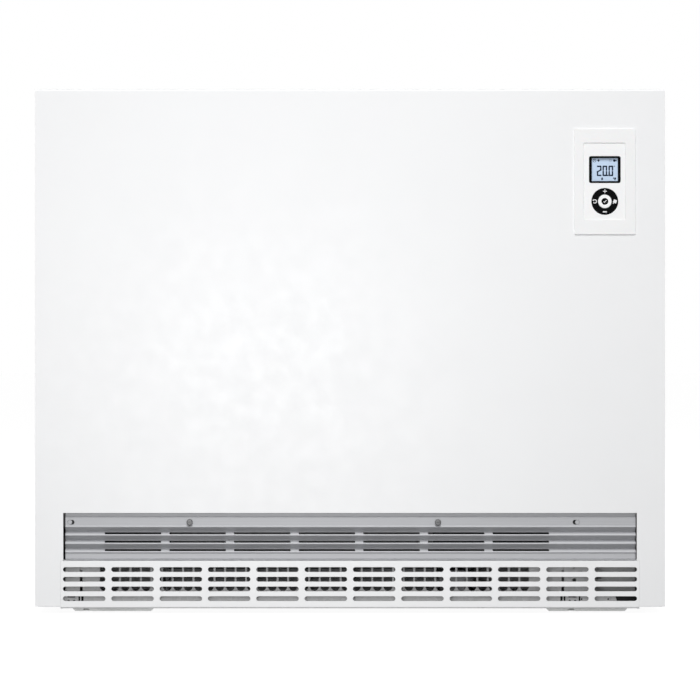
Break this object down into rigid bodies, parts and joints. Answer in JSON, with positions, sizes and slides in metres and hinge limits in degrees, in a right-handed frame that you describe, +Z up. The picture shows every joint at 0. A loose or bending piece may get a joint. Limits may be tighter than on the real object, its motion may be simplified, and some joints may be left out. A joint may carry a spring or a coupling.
{
  "type": "storage heater",
  "caption": "Floor-standing fan storage heater: white folded steel casing, louvred aluminium warm-air outlet over a slotted intake grille, and a small display with keys at the top right.",
  "frame": {"origin": "on the floor, under the middle of the overall box", "axes": "+X to the right as seen from the room, +Y towards the wall behind, +Z up"},
  "size_m": [0.78, 0.25, 0.65],
  "materials": {
    "casing": "satin",
    "white_plastic": "satin",
    "aluminium": "satin",
    "galvanised": "satin",
    "dark_steel": "satin",
    "black_plastic": "satin",
    "display": "gloss",
    "circuit_board": "satin",
    "insulation": "matte",
    "storage_brick": "matte",
    "element": "satin",
    "rubber": "matte",
    "bimetal": "satin"
  },
  "bodies": {
    "heater": {"front_panel": "casing", "side_panel_left": "casing", "side_panel_right": "casing", "top_cover": "casing", "rear_panel": "galvanised", "base_tray": "galvanised", "foot_left": "galvanised", "foot_right": "galvanised", "wall_bracket": "galvanised", "outlet_grille": "aluminium", "inner_wall_left": "galvanised", "inner_wall_right": "galvanised", "inner_front_plate": "galvanised", "inner_top_plate": "galvanised", "core_shelf": "galvanised", "fan_drawer": "galvanised", "fan_housing": "dark_steel", "fan_bearing": "rubber", "fan_motor": "galvanised", "duct_partition": "galvanised", "flap_bimetal": "bimetal", "base_insulation": "insulation", "front_insulation": "insulation", "rear_insulation": "insulation", "left_insulation": "insulation", "right_insulation": "insulation", "top_insulation": "insulation", "core_cover": "galvanised", "brick_1_1": "storage_brick", "brick_1_2": "storage_brick", "brick_1_3": "storage_brick", "brick_2_1": "storage_brick", "brick_2_2": "storage_brick", "brick_2_3": "storage_brick", "brick_3_1": "storage_brick", "brick_3_2": "storage_brick", "brick_3_3": "storage_brick", "heating_element_1": "element", "heating_element_2": "element", "heating_element_3": "element", "terminal_block": "white_plastic", "control_board": "circuit_board", "charge_sensor": "galvanised", "safety_limiter": "black_plastic", "cable_grommet": "rubber", "control_surround": "white_plastic", "control_fascia": "white_plastic", "lcd_bezel": "black_plastic", "lcd_module": "display", "keypad_board": "circuit_board"},
    "fan": {"fan_rotor": "dark_steel"},
    "flap": {"mixing_flap": "galvanised"},
    "intake": {"intake_grille": "casing"},
    "fastener_left": {"fastener_left": "dark_steel"},
    "fastener_right": {"fastener_right": "dark_steel"},
    "ok_key": {"ok_key": "white_plastic"},
    "plus_key": {"plus_key": "black_plastic"},
    "minus_key": {"minus_key": "black_plastic"},
    "menu_key": {"menu_key": "black_plastic"},
    "back_key": {"back_key": "black_plastic"}
  },
  "joints": [
    {"name": "fan_spin", "type": "hinge", "parent": "heater", "child": "fan", "pos_m": [0, -0.0654, 0.0371], "axis": [1, 0, 0], "continuous": true},
    {"name": "flap_turn", "type": "hinge", "parent": "heater", "child": "flap", "pos_m": [0, -0.029, 0.1261], "axis": [1, 0, 0], "range_deg": [0, 55], "stiffness_Nm_per_rad": 0.15, "springref_deg": -28.65},
    {"name": "intake_pull", "type": "slide", "parent": "heater", "child": "intake", "axis": [0, -1, 0], "range_m": [0, 0.06]},
    {"name": "fastener_left_turn", "type": "hinge", "parent": "heater", "child": "fastener_left", "pos_m": [-0.19871, -0.1208, 0.1134], "axis": [0, 1, 0], "range_deg": [0, 90]},
    {"name": "fastener_right_turn", "type": "hinge", "parent": "heater", "child": "fastener_right", "pos_m": [0.10895, -0.1208, 0.1134], "axis": [0, 1, 0], "range_deg": [0, 90]},
    {"name": "ok_key_press", "type": "slide", "parent": "heater", "child": "ok_key", "axis": [0, 1, 0], "range_m": [0, 0.0005], "stiffness_N_per_m": 1500, "springref_m": -0.0003},
    {"name": "plus_key_press", "type": "slide", "parent": "heater", "child": "plus_key", "axis": [0, 1, 0], "range_m": [0, 0.0005], "stiffness_N_per_m": 1500, "springref_m": -0.0003},
    {"name": "minus_key_press", "type": "slide", "parent": "heater", "child": "minus_key", "axis": [0, 1, 0], "range_m": [0, 0.0005], "stiffness_N_per_m": 1500, "springref_m": -0.0003},
    {"name": "menu_key_press", "type": "slide", "parent": "heater", "child": "menu_key", "axis": [0, 1, 0], "range_m": [0, 0.0005], "stiffness_N_per_m": 1500, "springref_m": -0.0003},
    {"name": "back_key_press", "type": "slide", "parent": "heater", "child": "back_key", "axis": [0, 1, 0], "range_m": [0, 0.0005], "stiffness_N_per_m": 1500, "springref_m": -0.0003}
  ]
}
